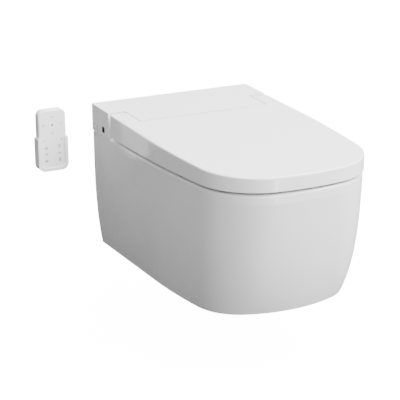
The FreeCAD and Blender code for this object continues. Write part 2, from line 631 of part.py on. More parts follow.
def make_cover_screws():
    """Screws from under the plate into the cover's posts."""
    body = node("cover_screws")
    for across, along in post_points():
        rod(body, "z", (across, along, "rim_level + plate_thick / 2"), "screw_radius",
            "plate_thick / 2 + cover_lift + screw_depth - 1")
        rod(body, "z", (across, along, "rim_level + 0.2"), "screw_head", "plate_thick / 2 - 0.2")


# ---- side panel --------------------------------------------------------------------------------

PANEL_KEYS = [("power", "panel_key_near", "panel_key_high"), ("rear_wash", "panel_key_far", "panel_key_high"),
              ("light", "panel_key_near", "panel_key_low"), ("front_wash", "panel_key_far", "panel_key_low")]


def window(body, grow, low_x, depth, cut=False):
    """The sensor window's rounded square, extruded through the housing's left wall."""
    sketch = sketch_on(body, "YZ_Plane", low_x)
    half = f"window_half + ({grow})"
    rounded(sketch, (f"-window_back - ({half})", f"rim_level + window_level - ({half})"),
            (f"-window_back + ({half})", f"rim_level + window_level + ({half})"), "window_round")
    pad(body, sketch, depth, cut=cut)


def make_panel():
    """Flush fascia in the housing's left wall, its keys, lamps and sensor window."""
    fascia = node("panel_fascia")
    block(fascia, ("-half_width", "panel_play - panel_far", "rim_level + cover_lift"),
          ("cover_wall - half_width", "-panel_near - panel_play", "rim_level + panel_high - panel_play"))
    for name, along, up in PANEL_KEYS:
        rod(fascia, "x", ("-half_width", f"-{along}", f"rim_level + {up}"), "panel_key + key_play",
            "cover_wall", cut=True)
        key = node("panel_key_" + name)
        rod(key, "x", ("-half_width", f"-{along}", f"rim_level + {up}"), "panel_key",
            "panel_key_length")
    lamps = node("panel_lights")
    for step in range(3):
        start = ("-half_width", "-lamp_back", f"rim_level + lamp_low + lamp_step * {step}")
        rod(fascia, "x", start, "lamp_radius", "cover_wall", cut=True)
        rod(lamps, "x", start, "lamp_radius", "cover_wall")
    window(fascia, "0", "-half_width", "cover_wall", cut=True)
    window(node("sensor_window"), "-panel_play", "-half_width", "cover_wall")


# ---- inside the housing ------------------------------------------------------------------------

def make_water_parts():
    """Inlet valve with its threaded tail, pump, instant heater and the pipes between them."""
    valve = node("inlet_valve")
    level = "rim_level + feed_level"
    block(valve, ("feed_x - valve_half", "-valve_far", "rim_level + valve_low"),
          ("feed_x + valve_half", "-feed_length", "rim_level + valve_high"))
    rod(valve, "y", ("feed_x", "-feed_length", level), "feed_radius", "feed_length")
    rod(valve, "y", ("feed_x", "-feed_length", level), "feed_bore", "feed_length", cut=True)
    pump = node("water_pump")
    rod(pump, "x", ("pump_x - pump_half", "-pump_back", "rim_level + pump_level"), "pump_radius",
        "pump_half * 2")
    block(pump, ("pump_x - pump_half", "-pump_back - pump_radius / 2", "rim_level + plate_thick"),
          ("pump_x + pump_half", "-pump_back + pump_radius / 2", "rim_level + pump_level"))
    tank = node("water_heater")
    sketch = rounded(sketch_on(tank, "XY_Plane", "rim_level + tank_low"),
                     ("tank_in", "-tank_far"), ("tank_out", "-tank_near"), "tank_round")
    pad(tank, sketch, "tank_high - tank_low")
    pipes = node("water_pipes")
    rod(pipes, "x", ("pump_x + pump_half", "-pump_back", "rim_level + pump_level"), "pipe_radius",
        "feed_x - valve_half - pump_x - pump_half")
    rod(pipes, "y", ("pump_x", "-tank_near", "rim_level + pump_level"), "pipe_radius",
        "tank_near - pump_back - pump_radius")


def make_power_parts():
    """Mains gland, power board with its parts, control board and the night light."""
    gland = node("power_gland")
    start = ("-gland_x", "-gland_depth", "rim_level + gland_level")
    rod(gland, "y", start, "gland_radius", "gland_depth")
    rod(gland, "y", ("-gland_x", "-gland_depth", "rim_level + gland_level"), "gland_radius + 2",
        "gland_depth - cover_wall - 0.5")
    rod(gland, "y", start, "gland_bore", "gland_depth", cut=True)
    power = node("power_board")
    foot = "rim_level + power_low"
    block(power, ("-power_out", "-power_far", foot), ("-power_in", "-power_near", foot + " + board_thick"))
    for near, far, high in ((0.08, 0.4, 24), (0.5, 0.62, 14), (0.7, 0.92, 18)):
        block(power, (f"-power_out * 0.97", f"-power_near - (power_far - power_near) * {far}", foot),
              (f"-power_in * 1.06", f"-power_near - (power_far - power_near) * {near}", f"{foot} + {high}"))
    control = node("control_board")
    block(control, ("-control_x", "-control_far", "rim_level + control_low"),
          ("-control_x + board_thick", "-control_near", "rim_level + control_high"))
    block(control, ("-control_x", "-control_far + 8", "rim_level + control_high - 16"),
          ("-control_x + board_thick * 5", "-control_far + 24", "rim_level + control_high - 4"))
    light = node("night_light")
    rod(light, "y", ("light_x", "-nose_reach", "rim_level + light_level"), "light_radius",
        "light_length")


def blades(body, start, length, inner, outer, count):
    """Thin blades round an axis along X, each a box turned about it."""
    thick = "blade_thick"
    for index in range(count):
        blade = body.newObject("PartDesign::AdditiveBox", "blade")
        angle = 360 * index / count
        blade.Placement = Place(V(), Turn(X_AXIS, angle))
        bind(blade, "Length", length)
        bind(blade, "Width", f"({outer}) - ({inner})")
        bind(blade, "Height", thick)
        bind(blade, "Placement.Base.x", start[0])
        bind(blade, "Placement.Base.y", f"({start[1]}) + cos({angle}) * ({inner})")
        bind(blade, "Placement.Base.z", f"({start[2]}) + sin({angle}) * ({inner})")


def make_dryer():
    """Warm air dryer: scroll and duct, impeller, and the flap over its outlet."""
    shell = node("dryer_housing")
    axis = ("-dryer_x", "-dryer_back", "rim_level + dryer_level")
    inner = "dryer_radius - dryer_shell"
    rod(shell, "x", ("-dryer_x - dryer_half", axis[1], axis[2]), "dryer_radius", "dryer_half * 2")
    block(shell, ("-dryer_x - duct_half", "cover_wall - nose_reach", "rim_level + duct_low"),
          ("-dryer_x + duct_half", axis[1], "rim_level + duct_high"))
    rod(shell, "x", ("-dryer_x - dryer_half + dryer_shell", axis[1], axis[2]), inner,
        "(dryer_half - dryer_shell) * 2", cut=True)
    block(shell, ("dryer_shell - dryer_x - duct_half", "cover_wall - nose_reach",
                  "rim_level + duct_low + dryer_shell"),
          ("-dryer_x + duct_half - dryer_shell", axis[1], "rim_level + duct_high - dryer_shell"), cut=True)
    rod(shell, "x", ("-dryer_x - dryer_half", axis[1], axis[2]), "impeller_radius - 4",
        "dryer_shell", cut=True)
    rod(shell, "x", ("-dryer_x + dryer_half - dryer_shell", axis[1], axis[2]),
        "spindle_radius + running_fit", "dryer_shell", cut=True)
    wheel = node("dryer_impeller")
    start = ("-dryer_x - impeller_half", axis[1], axis[2])
    rod(wheel, "x", start, "hub_radius", "impeller_half * 2")
    rod(wheel, "x", ("-dryer_x + impeller_half - 2", axis[1], axis[2]), "impeller_radius", "2")
    rod(wheel, "x", ("-dryer_x", axis[1], axis[2]), "spindle_radius", "dryer_half")
    blades(wheel, start, "impeller_half * 2 - 1", "impeller_radius - 5", "impeller_radius", int(value("blade_count")))
    flap = node("dryer_flap")
    block(flap, ("-dryer_x - duct_half", "-nose_reach", "rim_level + duct_low"),
          ("-dryer_x + duct_half", "flap_thick - nose_reach", "rim_level + duct_high - flap_thick / 2"))
    rod(flap, "x", ("-dryer_x - duct_half", "flap_thick / 2 - nose_reach",
                    "rim_level + duct_high - flap_thick / 2"), "flap_thick / 2", "duct_half * 2")


def make_deodoriser():
    """Deodoriser fan, and the carbon cartridge that draws out through the right wall."""
    shell = node("deodoriser_housing")
    level = "rim_level + fan_level"
    rod(shell, "x", ("fan_x - fan_half", "-fan_back", level), "fan_radius", "fan_half * 2")
    low = ("fan_x + fan_half", "-filter_far - filter_play - guide_wall",
           "rim_level + filter_low - filter_play - guide_wall")
    high = ("half_width - cover_wall - 1", "-filter_near + filter_play + guide_wall",
            "rim_level + filter_high + filter_play + guide_wall")
    block(shell, low, high)
    block(shell, ("filter_from - filter_play", "-filter_far - filter_play", "rim_level + filter_low - filter_play"),
          ("half_width", "-filter_near + filter_play", "rim_level + filter_high + filter_play"), cut=True)
    rod(shell, "x", ("fan_x - fan_half + guide_wall", "-fan_back", level), "fan_radius - guide_wall",
        "fan_half * 2 - guide_wall * 2", cut=True)
    rod(shell, "x", ("fan_x + fan_half - guide_wall", "-fan_back", level), "rotor_radius - 3",
        "filter_from - fan_x - fan_half + guide_wall", cut=True)
    rod(shell, "x", ("fan_x - fan_half", "-fan_back", level), "spindle_radius + running_fit",
        "guide_wall", cut=True)
    rotor = node("deodoriser_rotor")
    start = ("fan_x - rotor_half", "-fan_back", level)
    rod(rotor, "x", start, "rotor_hub", "rotor_half * 2")
    rod(rotor, "x", start, "rotor_radius", "2")
    rod(rotor, "x", ("fan_x - fan_half", "-fan_back", level), "spindle_radius", "fan_half")
    blades(rotor, start, "rotor_half * 2 - 1", "rotor_hub + 3", "rotor_radius", int(value("rotor_blades")))
    cartridge = node("carbon_filter")
    block(cartridge, ("filter_from", "-filter_far", "rim_level + filter_low"),
          ("half_width - grip_thick", "-filter_near", "rim_level + filter_high"))
    block(cartridge, ("half_width - grip_thick", "-filter_far - grip_margin + 0.3",
                      "rim_level + filter_low - grip_margin + 0.3"),
          ("half_width", "-filter_near + grip_margin - 0.3", "rim_level + filter_high + grip_margin - 0.3"))
    block(cartridge, ("half_width - grip_thick / 2", "-(filter_near + filter_far) / 2 - 8",
                      "rim_level + filter_high - 6"),
          ("half_width + 1", "-(filter_near + filter_far) / 2 + 8", "rim_level + filter_high - 3"), cut=True)


# ---- cleansing nozzle --------------------------------------------------------------------------

def make_nozzle():
    """Cradle, tube with its rack, tip with the front cap, pinion and stepper motor."""
    cradle = nozzle_node("nozzle_cradle")
    half = "tube_radius + cradle_play"
    floor = f"-({half}) - cradle_floor"
    end = "cradle_from + cradle_length"
    block(cradle, (f"-({half}) - cradle_wall", "cradle_from", floor),
          (f"{half} + cradle_wall", end, "cradle_side"))
    block(cradle, (f"-({half})", "cradle_from", f"-({half})"), (half, end, "cradle_side"), cut=True)
    leg = "cradle_from + cradle_length - 14"
    block(cradle, (f"-({half})", leg, f"-(nozzle_rise - plate_thick + sin(nozzle_tilt) * ({leg}))"),
          (half, f"{leg} + 5", f"{floor} + 1"))
    tube = nozzle_node("nozzle_tube")
    rod(tube, "y", ("0", "tube_start", "0"), "tube_radius", "tube_length - tube_start")
    block(tube, ("-rack_half", "rack_from", "0"), ("rack_half", "tube_length", "rack_root"))
    rod(tube, "y", ("0", "tube_start", "0"), "tube_bore", "tube_length - tube_start", cut=True)
    pitch = "pi * gear_module"
    span = value("tube_length - 4 - rack_from") / value(pitch)
    before = int(value("gear_at - rack_from - 1") / value(pitch))
    for step in range(-before, int(span) - before):
        middle = f"gear_at + {pitch} * ({step} + 0.5)"
        tooth = polygon(sketch_on(tube, "YZ_Plane", "-rack_half"),
                        [(f"{middle} - tooth_width", "rack_root - 0.2"),
                         (f"{middle} + tooth_width", "rack_root - 0.2"),
                         (f"{middle} + tooth_tip / 2", "rack_tip"),
                         (f"{middle} - tooth_tip / 2", "rack_tip")])
        pad(tube, tooth, "rack_half * 2")
    tip = nozzle_node("nozzle_tip")
    rod(tip, "y", ("0", "-tip_thick + 1", "0"), "tube_radius", "tube_start + tip_thick - 1")
    block(tip, ("-tip_half", "-tip_thick", "-tip_low"), ("tip_half", "0", "tip_high"))
    rod(tip, "z", ("0", "tube_start / 2 + 0.2", "-tube_radius"), "spray_radius / 2",
        "tube_radius", cut=True)
    pinion = nozzle_node("nozzle_pinion")
    pitch_radius = "gear_module * gear_teeth / 2"
    centre = f"rack_root + gear_addendum + 0.2 + {pitch_radius}"
    rod(pinion, "x", ("-gear_half", "gear_at", centre), f"{pitch_radius} - gear_dedendum", "gear_half * 2")
    rod(pinion, "x", ("-gear_half", "gear_at", centre), "gear_shaft", "gear_half + motor_from + 8")
    count = int(value("gear_teeth"))
    for index in range(count):
        angle = 360 * index / count
        tooth = pinion.newObject("PartDesign::AdditiveWedge", "tooth")
        root = f"{pitch_radius} - gear_dedendum - 0.3"
        bind(tooth, "Xmin", "-gear_half")
        bind(tooth, "Xmax", "gear_half")
        bind(tooth, "X2min", "-gear_half")
        bind(tooth, "X2max", "gear_half")
        bind(tooth, "Ymin", root)
        bind(tooth, "Ymax", f"{pitch_radius} + gear_addendum")
        bind(tooth, "Zmin", "-tooth_width * 0.8")
        bind(tooth, "Zmax", "tooth_width * 0.8")
        bind(tooth, "Z2min", "-tooth_tip / 2")
        bind(tooth, "Z2max", "tooth_tip / 2")
        tooth.Placement = Place(V(), Turn(X_AXIS, angle + 90))
        bind(tooth, "Placement.Base.y", "gear_at")
        bind(tooth, "Placement.Base.z", centre)
    motor = nozzle_node("nozzle_motor")
    rod(motor, "x", ("motor_from", "gear_at", centre), "motor_radius", "motor_length")
    rod(motor, "x", ("motor_from", "gear_at", centre), "gear_shaft + running_fit", "10", cut=True)


# ---- hinge -------------------------------------------------------------------------------------

def make_hinge():
    """Pins on the shared hinge line, their brackets on the plate and the two slow-close dampers."""
    pins = node("hinge_pins")
    brackets = node("hinge_brackets")
    dampers = node("hinge_dampers")
    level = "rim_level + hinge_rise"
    for side in (-1, 1):
        start = "pin_inner" if side > 0 else "-pin_outer"
        rod(pins, "x", (start, "-hinge_back", level), "pin_radius", "pin_outer - pin_inner")
        low = "bracket_x" if side > 0 else "-bracket_x - bracket_thick"
        block(brackets, (low, "-hinge_back - bracket_half", "rim_level + plate_thick"),
              (f"{low} + bracket_thick", "-hinge_back + bracket_half", f"{level} + bracket_half / 2"))
        rod(brackets, "x", (low, "-hinge_back", level), "pin_radius + running_fit", "bracket_thick", cut=True)
        start = "pin_inner - damper_length" if side > 0 else "-pin_inner"
        rod(dampers, "x", (start, "-hinge_back", level), "damper_radius", "damper_length")


# ---- lid and seat ------------------------------------------------------------------------------

def make_lid():
    """Lid shell with two arms that reach back beside the nose, and rubber pads under it."""
    body = node("lid")
    arm_end = "-housing_depth - arm_gap"
    arm_in = "nose_half + slit"
    nose_end = "-nose_reach - slit"
    foot = "rim_level + lid_gap"
    shape = rim_shape()
    back = [(f"-({shape['half']})", arm_end), (f"-({arm_in})", arm_end), (f"-({arm_in})", nose_end),
            (arm_in, nose_end), (arm_in, arm_end), (shape["half"], arm_end)]
    pad(body, outline(sketch_on(body, "XY_Plane", foot), shape, back), "rear_rise + 10")
    trim_above_top(body)
    # round clearance under and behind the hinge line, at the arms' lower rear corner
    body_sketch = sketch_on(body, "YZ_Plane", "-half_width - 1")
    level = "rim_level + hinge_rise"
    sweep_corner(body_sketch, level)
    pad(body, body_sketch, "half_width * 2 + 2", cut=True)
    slope = value("(rear_rise - front_rise) / reach")
    crest, arm_tail = value("rim_level + rear_rise"), value("housing_depth + arm_gap")
    side_line, front_line = value("half_width * 0.85"), value("straight + 20")

    def top_edge(edge):
        middle = spots(edge)[1]
        on_top = all(abs(spot.z - crest - spot.y * slope) < 0.02 for spot in spots(edge))
        outside = abs(middle.x) > side_line or middle.y < -front_line
        return on_top and outside and middle.y < -arm_tail - 1
    round_edges(body, "lid_round", top_edge)
    inside = rim_shape("lid_wall")
    rear = f"{arm_end} - lid_wall"
    rib = f"{nose_end} + arm_stop"
    wall_in = f"{arm_in} + lid_wall"
    back = [(f"-({inside['half']})", rear), (f"-({wall_in})", rear), (f"-({wall_in})", rib),
            (f"-({arm_in})", rib), (f"-({arm_in})", "-nose_reach"), (arm_in, "-nose_reach"),
            (arm_in, rib), (wall_in, rib), (wall_in, rear), (inside["half"], rear)]
    hollow = sketch_on(body, "XY_Plane", "rim_level + rear_rise - lid_wall", tilted=True)
    pad(body, outline(hollow, inside, back), "rear_rise + 20", down=True, cut=True)
    for side in (-1, 1):
        start = arm_in if side > 0 else f"-({arm_in}) - lid_boss_width"
        rod(body, "x", (start, "-hinge_back", level), "lid_boss", "lid_boss_width")
        rod(body, "x", (start, "-hinge_back", level), "pin_radius + running_fit", "lid_boss_width", cut=True)
        low = wall_in if side > 0 else f"-({inside['half']})"
        high = inside["half"] if side > 0 else f"-({wall_in})"
        block(body, (low, f"{rear} - 1", foot), (high, f"{arm_end} + 1", level), cut=True)
    pads = node("lid_buffers")
    for side in (-1, 1):
        for along in ("lid_pad_rear", "lid_pad_front"):
            fall = f"({along} + lid_pad) * (rear_rise - front_rise) / reach"
            rod(pads, "z", (f"{side} * lid_pad_side", f"-{along}", "rim_level + seat_top_rise + rest_gap"),
                "lid_pad", f"rear_rise - lid_wall - seat_top_rise - rest_gap - {fall}")


def sweep_corner(sketch, level):
    """The region outside a quarter circle about the hinge line, below and behind it."""
    back, radius = "-hinge_back", "arm_sweep"
    y0, z0, r0 = value(back), value(level), value(radius)
    ring = Part.Circle(V(y0, z0, 0), Z_AXIS, r0)
    sketch.addGeometry(Part.ArcOfCircle(ring, -math.pi / 2, 0), False)
    far = [("-hinge_back + arm_sweep", level), ("10", level), ("10", f"({level}) - arm_sweep - 10"),
           ("-hinge_back", f"({level}) - arm_sweep - 10"), (back, f"({level}) - arm_sweep")]
    points = [V(value(across), value(up), 0) for across, up in far]
    for start, end in zip(points[:-1], points[1:]):
        sketch.addGeometry(Part.LineSegment(start, end), False)
    hold(sketch, "Radius", 0, radius)
    hold(sketch, "DistanceX", 0, 3, back)
    hold(sketch, "DistanceY", 0, 3, level)
    sketch.addConstraint(Sketcher.Constraint("Coincident", 0, 2, 1, 1))
    for index in (1, 2, 3):
        sketch.addConstraint(Sketcher.Constraint("Coincident", index, 2, index + 1, 1))
    sketch.addConstraint(Sketcher.Constraint("Coincident", 4, 2, 0, 1))
    sketch.addConstraint(Sketcher.Constraint("Horizontal", 1))
    sketch.addConstraint(Sketcher.Constraint("Vertical", 2))
    sketch.addConstraint(Sketcher.Constraint("Horizontal", 3))
    sketch.addConstraint(Sketcher.Constraint("Vertical", 4))
    hold(sketch, "DistanceX", 2, 1, "10")
    hold(sketch, "DistanceY", 3, 1, f"({level}) - arm_sweep - 10")
    hold(sketch, "DistanceY", 0, 2, level)
    hold(sketch, "DistanceX", 0, 1, back)


def seat_ring(body, inset, grow, level, thick):
    """A seat-shaped layer: the outline moved in by inset, the opening grown by grow."""
    shape = rim_shape(f"lid_wall + seat_play + ({inset})")
    back = straight_back(shape, f"-nose_reach - seat_gap - ({inset})")
    pad(body, outline(sketch_on(body, "XY_Plane", level), shape, back), thick)
    open_seat(body, grow, level, thick)


def open_seat(body, grow, level, thick):
    """Cut the seat's opening, which runs back to the nose, through one layer."""
    hole = oval(sketch_on(body, "XY_Plane", level), "-opening_centre",
                f"opening_half_length + ({grow})", f"opening_half + ({grow})")
    pad(body, hole, thick, cut=True)
    half = f"opening_half + ({grow})"
    block(body, (f"-({half})", "-opening_centre", level),
          (half, "-nose_reach", f"({level}) + ({thick})"), cut=True)


def make_seat():
    """Seat: upper shell, heating film, base plate with the hinge arms, and rubber buffers."""
    top = node("seat_top")
    low, high = "rim_level + seat_low", "rim_level + seat_top_rise"
    shape = rim_shape("lid_wall + seat_play")
    back = straight_back(shape, "-nose_reach - seat_gap")
    pad(top, outline(sketch_on(top, "XY_Plane", low), shape, back), "seat_top_rise - seat_low")
    inner = rim_shape("lid_wall + seat_play + seat_wall")
    inner_back = straight_back(inner, "-nose_reach - seat_gap - seat_wall")
    pad(top, outline(sketch_on(top, "XY_Plane", low), inner, inner_back),
        "seat_top_rise - seat_low - seat_wall", cut=True)
    rim = oval(sketch_on(top, "XY_Plane", low), "-opening_centre",
               "opening_half_length + seat_wall", "opening_half + seat_wall")
    pad(top, rim, "seat_top_rise - seat_low - seat_wall / 2")
    for side in (-1, 1):
        near = "opening_half" if side > 0 else "-opening_half - seat_wall"
        block(top, (near, "-opening_centre", low), (f"{near} + seat_wall", "-nose_reach - seat_gap", high))
    open_seat(top, "0", low, "seat_top_rise - seat_low + 1")
    for side in (-1, 1):
        low_x = "seat_arm_in - 0.5" if side > 0 else "-seat_arm_out - 0.5"
        block(top, (low_x, "-nose_reach - seat_gap - seat_wall - 1", low),
              (f"{low_x} + seat_arm_out - seat_arm_in + 1", "-nose_reach", "rim_level + seat_arm_high + 0.3"),
              cut=True)
    head = value(high)
    back_line = -value("nose_reach + seat_gap")

    def crown(edge):
        return level_edge(edge, head) and edge.BoundBox.YMin < back_line - 1
    round_edges(top, "seat_round * 0.5", crown)
    base = node("seat_base")
    seat_ring(base, "seat_wall + 0.2", "seat_wall + 0.2", "rim_level + seat_low - 1", "seat_plate")
    for side in (-1, 1):
        near = "seat_arm_in" if side > 0 else "-seat_arm_out"
        far = f"{near} + seat_arm_out - seat_arm_in"
        block(base, (near, "-nose_reach - seat_gap - 12", "rim_level + seat_arm_low"),
              (far, "-hinge_back + 8", "rim_level + seat_arm_high"))
        block(base, (near, "-nose_reach - seat_gap - 12", "rim_level + seat_low - 1"),
              (far, "-nose_reach - seat_gap - seat_wall - 1.2", "rim_level + seat_arm_high"))
        rod(base, "x", (near, "-hinge_back", "rim_level + hinge_rise"), "lid_boss", "seat_arm_out - seat_arm_in")
        rod(base, "x", (near, "-hinge_back", "rim_level + hinge_rise"), "pin_radius + running_fit",
            "seat_arm_out - seat_arm_in", cut=True)
    heater = node("seat_heater")
    seat_ring(heater, "seat_wall + heater_margin", "seat_wall + heater_margin",
              "rim_level + seat_top_rise - seat_wall - heater_thick", "heater_thick")
    feet = node("seat_buffers")
    for side in (-1, 1):
        for along in ("buffer_rear", "buffer_front"):
            across = f"{side} * buffer_side" if along == "buffer_rear" else f"{side} * buffer_side * 0.86"
            block(feet, (f"{across} - buffer_width / 2", f"-{along} - buffer_length / 2", "rim_level + rest_gap"),
                  (f"{across} + buffer_width / 2", f"-{along} + buffer_length / 2", "rim_level + seat_low - 1"))


# ---- handset -----------------------------------------------------------------------------------

def handset_outline(body, level, inset, top_inset="0"):
    """The handset's rounded rectangle in a plane parallel to the wall."""
    sketch = sketch_on(body, "XZ_Plane", level)
    rounded(sketch, (f"-handset_x - handset_width / 2 + ({inset})", f"handset_low + ({inset})"),
            (f"-handset_x + handset_width / 2 - ({inset})", f"handset_low + handset_height - ({inset})"),
            f"handset_round - ({inset})")
    return sketch


def key_centre(across, up):
    """A handset key's centre, from its place on the handset."""
    return f"-handset_x + ({across})", f"handset_low + ({up})"


def make_handset():
    """Handset: two shells, board, cells, battery hatch and its keys, and the wall holder."""
    front = node("remote_front")
    pad(front, handset_outline(front, "handset_split", "0"), "handset_face - handset_split")
    face = -value("handset_face")
    round_edges(front, "1.2", lambda edge: edge.BoundBox.YMax < face + 0.01)
    pad(front, handset_outline(front, "handset_split", "handset_wall"),
        "handset_face - handset_split - handset_wall", cut=True)
    back = node("remote_back")
    pad(back, handset_outline(back, "handset_back", "0"), "handset_split - handset_back")
    round_edges(back, "1.2", lambda edge: edge.BoundBox.YMin > -value("handset_back") - 0.01)
    pad(back, handset_outline(back, "handset_back + handset_wall", "handset_wall"),
        "handset_split - handset_back - handset_wall", cut=True)
    low = "handset_low + hatch_low"
    block(back, ("-handset_x - hatch_half - 0.3", "-handset_back - hatch_thick - 0.2", f"{low} - hatch_travel - 1"),
          ("-handset_x + hatch_half + 0.3", "-handset_back + 1", f"{low} + hatch_height + 0.3"), cut=True)
    block(back, ("-handset_x - hatch_half + 3", "-handset_back - handset_wall - 1", f"{low} + 1"),
          ("-handset_x + hatch_half - 3", "-handset_back", f"{low} + hatch_height - 3"), cut=True)
    hatch = node("battery_cover")
    block(hatch, ("-handset_x - hatch_half", "-handset_back - hatch_thick", low),
          ("-handset_x + hatch_half", "-handset_back", f"{low} + hatch_height"))
    cells = node("batteries")
    for side in (-1, 1):
        rod(cells, "z", (f"-handset_x + {side} * cell_spread", "-cell_back", "handset_low + cell_low"),
            "cell_radius", "cell_length")
    board = node("remote_board")
    pad(board, handset_outline(board, "board_back", "board_margin"), "board_thick / 2")
    for name, across, up, radius in HANDSET_KEYS:
        column, level = key_centre(across, up)
        rod(front, "y", (column, "-handset_face - 1", level), f"{radius} + key_play", "handset_wall + 1.5", cut=True)
        key = node("remote_key_" + name)
        rod(key, "y", (column, "-handset_face - key_proud", level), radius,
            "handset_face + key_proud - key_back")
    holder = node("remote_holder")
    half = "handset_width / 2 + holder_margin"
    depth = "handset_face + holder_play + holder_lip"
    sketch = rounded(sketch_on(holder, "XZ_Plane"),
                     (f"-handset_x - ({half})", "holder_low"),
                     (f"-handset_x + ({half})", "holder_top + handset_round"), "handset_round + 2")
    pad(holder, sketch, depth)
    block(holder, (f"-handset_x - ({half}) - 1", f"-({depth}) - 1", "holder_top"),
          (f"-handset_x + ({half}) + 1", "1", "holder_top + handset_round + 1"), cut=True)
    slot = rounded(sketch_on(holder, "XZ_Plane", "handset_back - holder_play"),
                   ("-handset_x - handset_width / 2 - holder_play", "handset_low - holder_play"),
                   ("-handset_x + handset_width / 2 + holder_play", "holder_top + handset_round"),
                   "handset_round - 0.5")
    pad(holder, slot, "handset_face - handset_back + holder_play * 2", cut=True)
    mouth = rounded(sketch_on(holder, "XZ_Plane", "handset_face"),
                    ("-handset_x - handset_width / 2 + lip_width", "handset_low + lip_width"),
                    ("-handset_x + handset_width / 2 - lip_width", "holder_top + handset_round"),
                    "handset_round - lip_width")
    pad(holder, mouth, "holder_lip + 5", cut=True)
    for up in ("holder_screw_low", "holder_screw_high"):
        rod(holder, "y", ("-handset_x", "-handset_back - 1", up), "holder_screw", "handset_back + 2", cut=True)


def check_and_export():
    """Stop on any failed feature or bad solid, then write each sub-part."""
    doc.recompute()
    for item in doc.Objects:
        if "Invalid" in item.State or "Error" in item.State:
            raise RuntimeError(f"{item.Label} of {[p.Label for p in item.InList]} failed: {item.State}")
    os.makedirs("parts", exist_ok=True)
    for body in nodes:
        shape = body.Shape
        if shape.isNull() or not shape.isValid() or not shape.Solids:
            raise RuntimeError(f"{body.Label} has no valid solid")
        shape.exportStep(f"parts/{body.Label}.step")
        print(f"{body.Label}: {len(shape.Solids)} solids, {shape.Volume / 1000:.1f} cm3")


make_pan()
make_stud_sleeves()
make_plate()
make_fixing_bolts()
make_cover()
make_cover_screws()
make_panel()
make_water_parts()
make_power_parts()
make_dryer()
make_deodoriser()
make_nozzle()
make_hinge()
make_lid()
make_seat()
make_handset()
check_and_export()
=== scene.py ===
"""Wall-hung toilet with a built-in electric bidet seat and its handset: shells, finishes, light."""
import json
import math

import bmesh
import bpy
import numpy as np
from mathutils import Matrix, Vector


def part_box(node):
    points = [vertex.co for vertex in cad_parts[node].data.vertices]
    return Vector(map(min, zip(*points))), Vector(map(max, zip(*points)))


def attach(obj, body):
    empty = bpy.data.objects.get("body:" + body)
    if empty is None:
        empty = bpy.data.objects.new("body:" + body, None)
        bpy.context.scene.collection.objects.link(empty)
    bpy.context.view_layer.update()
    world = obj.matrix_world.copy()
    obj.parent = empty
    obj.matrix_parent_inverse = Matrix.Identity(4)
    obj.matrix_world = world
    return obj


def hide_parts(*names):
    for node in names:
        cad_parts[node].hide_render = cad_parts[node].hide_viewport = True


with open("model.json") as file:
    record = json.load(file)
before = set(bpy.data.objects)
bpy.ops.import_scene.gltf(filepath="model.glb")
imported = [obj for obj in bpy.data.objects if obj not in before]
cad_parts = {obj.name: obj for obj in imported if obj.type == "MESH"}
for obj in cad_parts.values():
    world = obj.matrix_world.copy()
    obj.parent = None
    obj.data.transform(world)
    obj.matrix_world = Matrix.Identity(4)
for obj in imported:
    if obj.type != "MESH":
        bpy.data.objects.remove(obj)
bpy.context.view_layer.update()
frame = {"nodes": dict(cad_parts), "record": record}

MM = 0.001
ROUND = 2 * math.pi

# ---- sizes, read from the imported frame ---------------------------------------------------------

lid_low, lid_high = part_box("lid")

HALF_WIDTH = lid_high.x                 # half the width over the lid
REACH = -lid_low.y                      # from the wall to the front of the lid
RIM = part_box("pan")[1].z                # top of the ceramic rim

# the outline seen from above: half width, reach and straight side, then the radii of the side, corner
# and front arcs, all tangent
RIM_OUTLINE = (HALF_WIDTH, REACH, 0.246, 2.162, 0.1245, 0.510)

# the seat's opening: two straight runs and half an ellipse
OPENING_CENTRE = -0.340                 # where the runs meet the ellipse
OPENING_HALF_WIDTH = 0.106
OPENING_REACH = 0.155                   # from the centre to the ellipse's front

# the handset's front shell
HANDSET_CORNER = 13 * MM                # corner radius, seen from the front
HANDSET_SOFT = 3.2 * MM                 # how far its soft edge draws in
HANDSET_DEEP = 2.2 * MM                 # and how far back it starts

# rounds of the seat's section, and how far its top dips
SEAT_INNER, SEAT_OUTER, SEAT_LOWER = 6 * MM, 5 * MM, 1.5 * MM
SEAT_DISH = 2.2 * MM

# printed symbols
INK_RAISED, INK_SUNK = 0.03, 0.02       # mm off and into the surface
HANDSET_SCALE, PANEL_SCALE = 1.25, 1.35
STROKE, ARROW_STROKE, PANEL_STROKE = 0.9, 0.8, 0.6

FLOOR_DROP = 0.4                        # floor under the rim
FLOOR_REACH = 30                        # half the floor's side
FLOOR_GLOW = 14.0                       # its emission


# ---- small tools for meshes --------------------------------------------------------------------

def mesh_object(name, points, faces, smooth=True):
    """A new mesh piece from an array of points in metres and a list of faces."""
    mesh = bpy.data.meshes.new(name)
    corners = [tuple(point) for point in np.asarray(points, float)]
    mesh.from_pydata(corners, [], [tuple(face) for face in faces])
    mesh.update()
    mesh.polygons.foreach_set("use_smooth", [smooth] * len(mesh.polygons))
    piece = bpy.data.objects.new(name, mesh)
    bpy.context.scene.collection.objects.link(piece)
    return piece


def grid_faces(rows, columns, first=0):
    """Quads between neighbouring closed rings of a grid, numbered from a first point."""
    row, column = np.meshgrid(np.arange(rows - 1), np.arange(columns), indexing="ij")
    row, column = row.ravel(), column.ravel()
    beside = (column + 1) % columns
    corners = (row * columns + column, row * columns + beside, (row + 1) * columns + beside,
               (row + 1) * columns + column)
    return (np.stack(corners, 1) + first).tolist()


def stacked(name, rings):
    """A closed skin through rings of equal length, with a flat cap on each end."""
    rings = np.asarray(rings, float)
    rows, columns = rings.shape[:2]
    faces = grid_faces(rows, columns)
    faces.append(list(range(columns))[::-1])
    faces.append(list(range((rows - 1) * columns, rows * columns)))
    return mesh_object(name, rings.reshape(-1, 3), faces)


